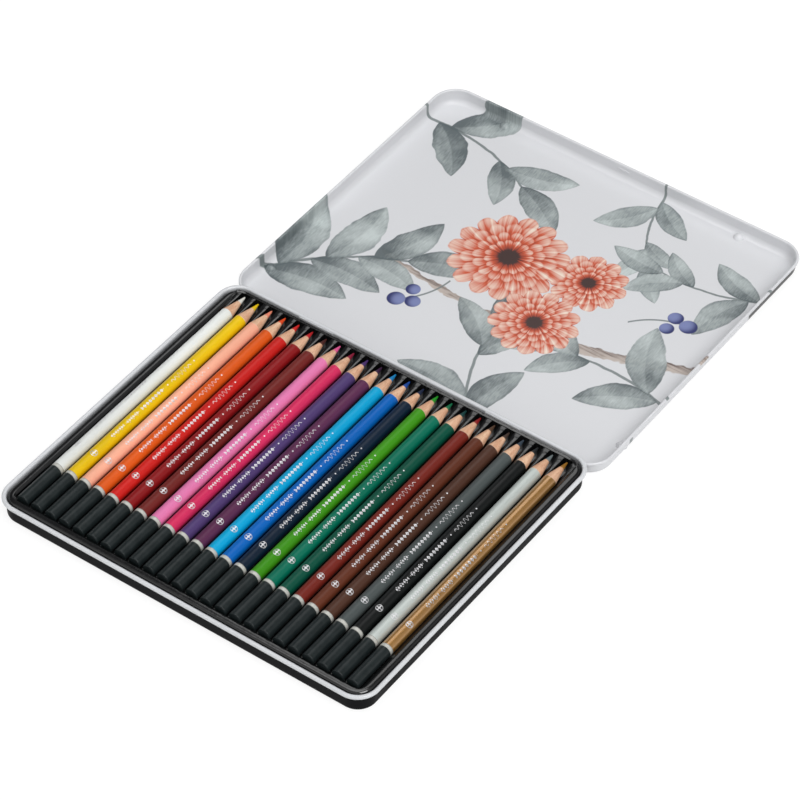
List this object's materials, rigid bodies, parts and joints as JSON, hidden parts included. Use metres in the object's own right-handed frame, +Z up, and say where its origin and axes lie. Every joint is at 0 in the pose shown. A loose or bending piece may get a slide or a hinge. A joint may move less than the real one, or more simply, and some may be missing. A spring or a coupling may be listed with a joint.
{
  "type": "colored pencil tin",
  "caption": "Flat hinged sheet-metal tin, laid open, with a formed plastic tray that holds a row of round colored pencils.",
  "frame": {"origin": "middle of the base's underside, on the table", "axes": "+X runs along the row of pencils, +Y from the dipped ends to the tips and on to the hinge and the open lid, +Z up"},
  "size_m": [0.226, 0.3814, 0.0141],
  "materials": {
    "tin_black": "black enamel with a bare white curl",
    "tin_white": "white enamel, satin",
    "tray_plastic": "glossy formed sheet",
    "wire_steel": "drawn wire",
    "barrel_white": "gloss lacquer",
    "lead_white": "waxy pigment core",
    "barrel_yellow": "gloss lacquer",
    "lead_yellow": "waxy pigment core",
    "barrel_peach": "gloss lacquer",
    "lead_peach": "waxy pigment core",
    "barrel_orange": "gloss lacquer",
    "lead_orange": "waxy pigment core",
    "barrel_red": "gloss lacquer",
    "lead_red": "waxy pigment core",
    "barrel_dark_red": "gloss lacquer",
    "lead_dark_red": "waxy pigment core",
    "barrel_maroon": "gloss lacquer",
    "lead_maroon": "waxy pigment core",
    "barrel_pink": "gloss lacquer",
    "lead_pink": "waxy pigment core",
    "barrel_magenta": "gloss lacquer",
    "lead_magenta": "waxy pigment core",
    "barrel_violet": "gloss lacquer",
    "lead_violet": "waxy pigment core",
    "barrel_plum": "gloss lacquer",
    "lead_plum": "waxy pigment core",
    "barrel_cyan": "gloss lacquer",
    "lead_cyan": "waxy pigment core",
    "barrel_blue": "gloss lacquer",
    "lead_blue": "waxy pigment core",
    "barrel_navy": "gloss lacquer",
    "lead_navy": "waxy pigment core",
    "barrel_light_green": "gloss lacquer",
    "lead_light_green": "waxy pigment core",
    "barrel_emerald": "gloss lacquer",
    "lead_emerald": "waxy pigment core",
    "barrel_dark_green": "gloss lacquer",
    "lead_dark_green": "waxy pigment core",
    "barrel_brick_red": "gloss lacquer",
    "lead_brick_red": "waxy pigment core",
    "barrel_brown": "gloss lacquer",
    "lead_brown": "waxy pigment core",
    "barrel_dark_brown": "gloss lacquer",
    "lead_dark_brown": "waxy pigment core",
    "barrel_slate_grey": "gloss lacquer",
    "lead_slate_grey": "waxy pigment core",
    "barrel_black": "gloss lacquer",
    "lead_black": "waxy pigment core",
    "barrel_silver": "metallic lacquer",
    "lead_silver": "waxy pigment core",
    "barrel_gold": "metallic lacquer",
    "lead_gold": "waxy pigment core"
  },
  "bodies": {
    "base": {"base_pan": "tin_black", "hinge_leaf_left": "tin_white", "hinge_leaf_right": "tin_white", "hinge_wire_left": "wire_steel", "hinge_wire_right": "wire_steel"},
    "lid": {"lid_pan": "tin_white"},
    "tray": {"tray": "tray_plastic"},
    "01_white": {"pencil_01_white": "barrel_white", "lead_01_white": "lead_white"},
    "02_yellow": {"pencil_02_yellow": "barrel_yellow", "lead_02_yellow": "lead_yellow"},
    "03_peach": {"pencil_03_peach": "barrel_peach", "lead_03_peach": "lead_peach"},
    "04_orange": {"pencil_04_orange": "barrel_orange", "lead_04_orange": "lead_orange"},
    "05_red": {"pencil_05_red": "barrel_red", "lead_05_red": "lead_red"},
    "06_dark_red": {"pencil_06_dark_red": "barrel_dark_red", "lead_06_dark_red": "lead_dark_red"},
    "07_maroon": {"pencil_07_maroon": "barrel_maroon", "lead_07_maroon": "lead_maroon"},
    "08_pink": {"pencil_08_pink": "barrel_pink", "lead_08_pink": "lead_pink"},
    "09_magenta": {"pencil_09_magenta": "barrel_magenta", "lead_09_magenta": "lead_magenta"},
    "10_violet": {"pencil_10_violet": "barrel_violet", "lead_10_violet": "lead_violet"},
    "11_plum": {"pencil_11_plum": "barrel_plum", "lead_11_plum": "lead_plum"},
    "12_cyan": {"pencil_12_cyan": "barrel_cyan", "lead_12_cyan": "lead_cyan"},
    "13_blue": {"pencil_13_blue": "barrel_blue", "lead_13_blue": "lead_blue"},
    "14_navy": {"pencil_14_navy": "barrel_navy", "lead_14_navy": "lead_navy"},
    "15_light_green": {"pencil_15_light_green": "barrel_light_green", "lead_15_light_green": "lead_light_green"},
    "16_emerald": {"pencil_16_emerald": "barrel_emerald", "lead_16_emerald": "lead_emerald"},
    "17_dark_green": {"pencil_17_dark_green": "barrel_dark_green", "lead_17_dark_green": "lead_dark_green"},
    "18_brick_red": {"pencil_18_brick_red": "barrel_brick_red", "lead_18_brick_red": "lead_brick_red"},
    "19_brown": {"pencil_19_brown": "barrel_brown", "lead_19_brown": "lead_brown"},
    "20_dark_brown": {"pencil_20_dark_brown": "barrel_dark_brown", "lead_20_dark_brown": "lead_dark_brown"},
    "21_slate_grey": {"pencil_21_slate_grey": "barrel_slate_grey", "lead_21_slate_grey": "lead_slate_grey"},
    "22_black": {"pencil_22_black": "barrel_black", "lead_22_black": "lead_black"},
    "23_silver": {"pencil_23_silver": "barrel_silver", "lead_23_silver": "lead_silver"},
    "24_gold": {"pencil_24_gold": "barrel_gold", "lead_24_gold": "lead_gold"}
  },
  "joints": [
    {"name": "lid_hinge", "type": "hinge", "parent": "base", "child": "lid", "pos_m": [0, 0.09465, 0.00747], "axis": [-1, 0, 0], "range_deg": [-180, 0]},
    {"name": "tray_lift", "type": "slide", "parent": "base", "child": "tray", "axis": [0, 0, 1], "range_m": [0, 0.06]},
    {"name": "lift_01_white", "type": "slide", "parent": "tray", "child": "01_white", "axis": [0, 0, 1], "range_m": [0, 0.04]},
    {"name": "lift_02_yellow", "type": "slide", "parent": "tray", "child": "02_yellow", "axis": [0, 0, 1], "range_m": [0, 0.04]},
    {"name": "lift_03_peach", "type": "slide", "parent": "tray", "child": "03_peach", "axis": [0, 0, 1], "range_m": [0, 0.04]},
    {"name": "lift_04_orange", "type": "slide", "parent": "tray", "child": "04_orange", "axis": [0, 0, 1], "range_m": [0, 0.04]},
    {"name": "lift_05_red", "type": "slide", "parent": "tray", "child": "05_red", "axis": [0, 0, 1], "range_m": [0, 0.04]},
    {"name": "lift_06_dark_red", "type": "slide", "parent": "tray", "child": "06_dark_red", "axis": [0, 0, 1], "range_m": [0, 0.04]},
    {"name": "lift_07_maroon", "type": "slide", "parent": "tray", "child": "07_maroon", "axis": [0, 0, 1], "range_m": [0, 0.04]},
    {"name": "lift_08_pink", "type": "slide", "parent": "tray", "child": "08_pink", "axis": [0, 0, 1], "range_m": [0, 0.04]},
    {"name": "lift_09_magenta", "type": "slide", "parent": "tray", "child": "09_magenta", "axis": [0, 0, 1], "range_m": [0, 0.04]},
    {"name": "lift_10_violet", "type": "slide", "parent": "tray", "child": "10_violet", "axis": [0, 0, 1], "range_m": [0, 0.04]},
    {"name": "lift_11_plum", "type": "slide", "parent": "tray", "child": "11_plum", "axis": [0, 0, 1], "range_m": [0, 0.04]},
    {"name": "lift_12_cyan", "type": "slide", "parent": "tray", "child": "12_cyan", "axis": [0, 0, 1], "range_m": [0, 0.04]},
    {"name": "lift_13_blue", "type": "slide", "parent": "tray", "child": "13_blue", "axis": [0, 0, 1], "range_m": [0, 0.04]},
    {"name": "lift_14_navy", "type": "slide", "parent": "tray", "child": "14_navy", "axis": [0, 0, 1], "range_m": [0, 0.04]},
    {"name": "lift_15_light_green", "type": "slide", "parent": "tray", "child": "15_light_green", "axis": [0, 0, 1], "range_m": [0, 0.04]},
    {"name": "lift_16_emerald", "type": "slide", "parent": "tray", "child": "16_emerald", "axis": [0, 0, 1], "range_m": [0, 0.04]},
    {"name": "lift_17_dark_green", "type": "slide", "parent": "tray", "child": "17_dark_green", "axis": [0, 0, 1], "range_m": [0, 0.04]},
    {"name": "lift_18_brick_red", "type": "slide", "parent": "tray", "child": "18_brick_red", "axis": [0, 0, 1], "range_m": [0, 0.04]},
    {"name": "lift_19_brown", "type": "slide", "parent": "tray", "child": "19_brown", "axis": [0, 0, 1], "range_m": [0, 0.04]},
    {"name": "lift_20_dark_brown", "type": "slide", "parent": "tray", "child": "20_dark_brown", "axis": [0, 0, 1], "range_m": [0, 0.04]},
    {"name": "lift_21_slate_grey", "type": "slide", "parent": "tray", "child": "21_slate_grey", "axis": [0, 0, 1], "range_m": [0, 0.04]},
    {"name": "lift_22_black", "type": "slide", "parent": "tray", "child": "22_black", "axis": [0, 0, 1], "range_m": [0, 0.04]},
    {"name": "lift_23_silver", "type": "slide", "parent": "tray", "child": "23_silver", "axis": [0, 0, 1], "range_m": [0, 0.04]},
    {"name": "lift_24_gold", "type": "slide", "parent": "tray", "child": "24_gold", "axis": [0, 0, 1], "range_m": [0, 0.04]}
  ]
}
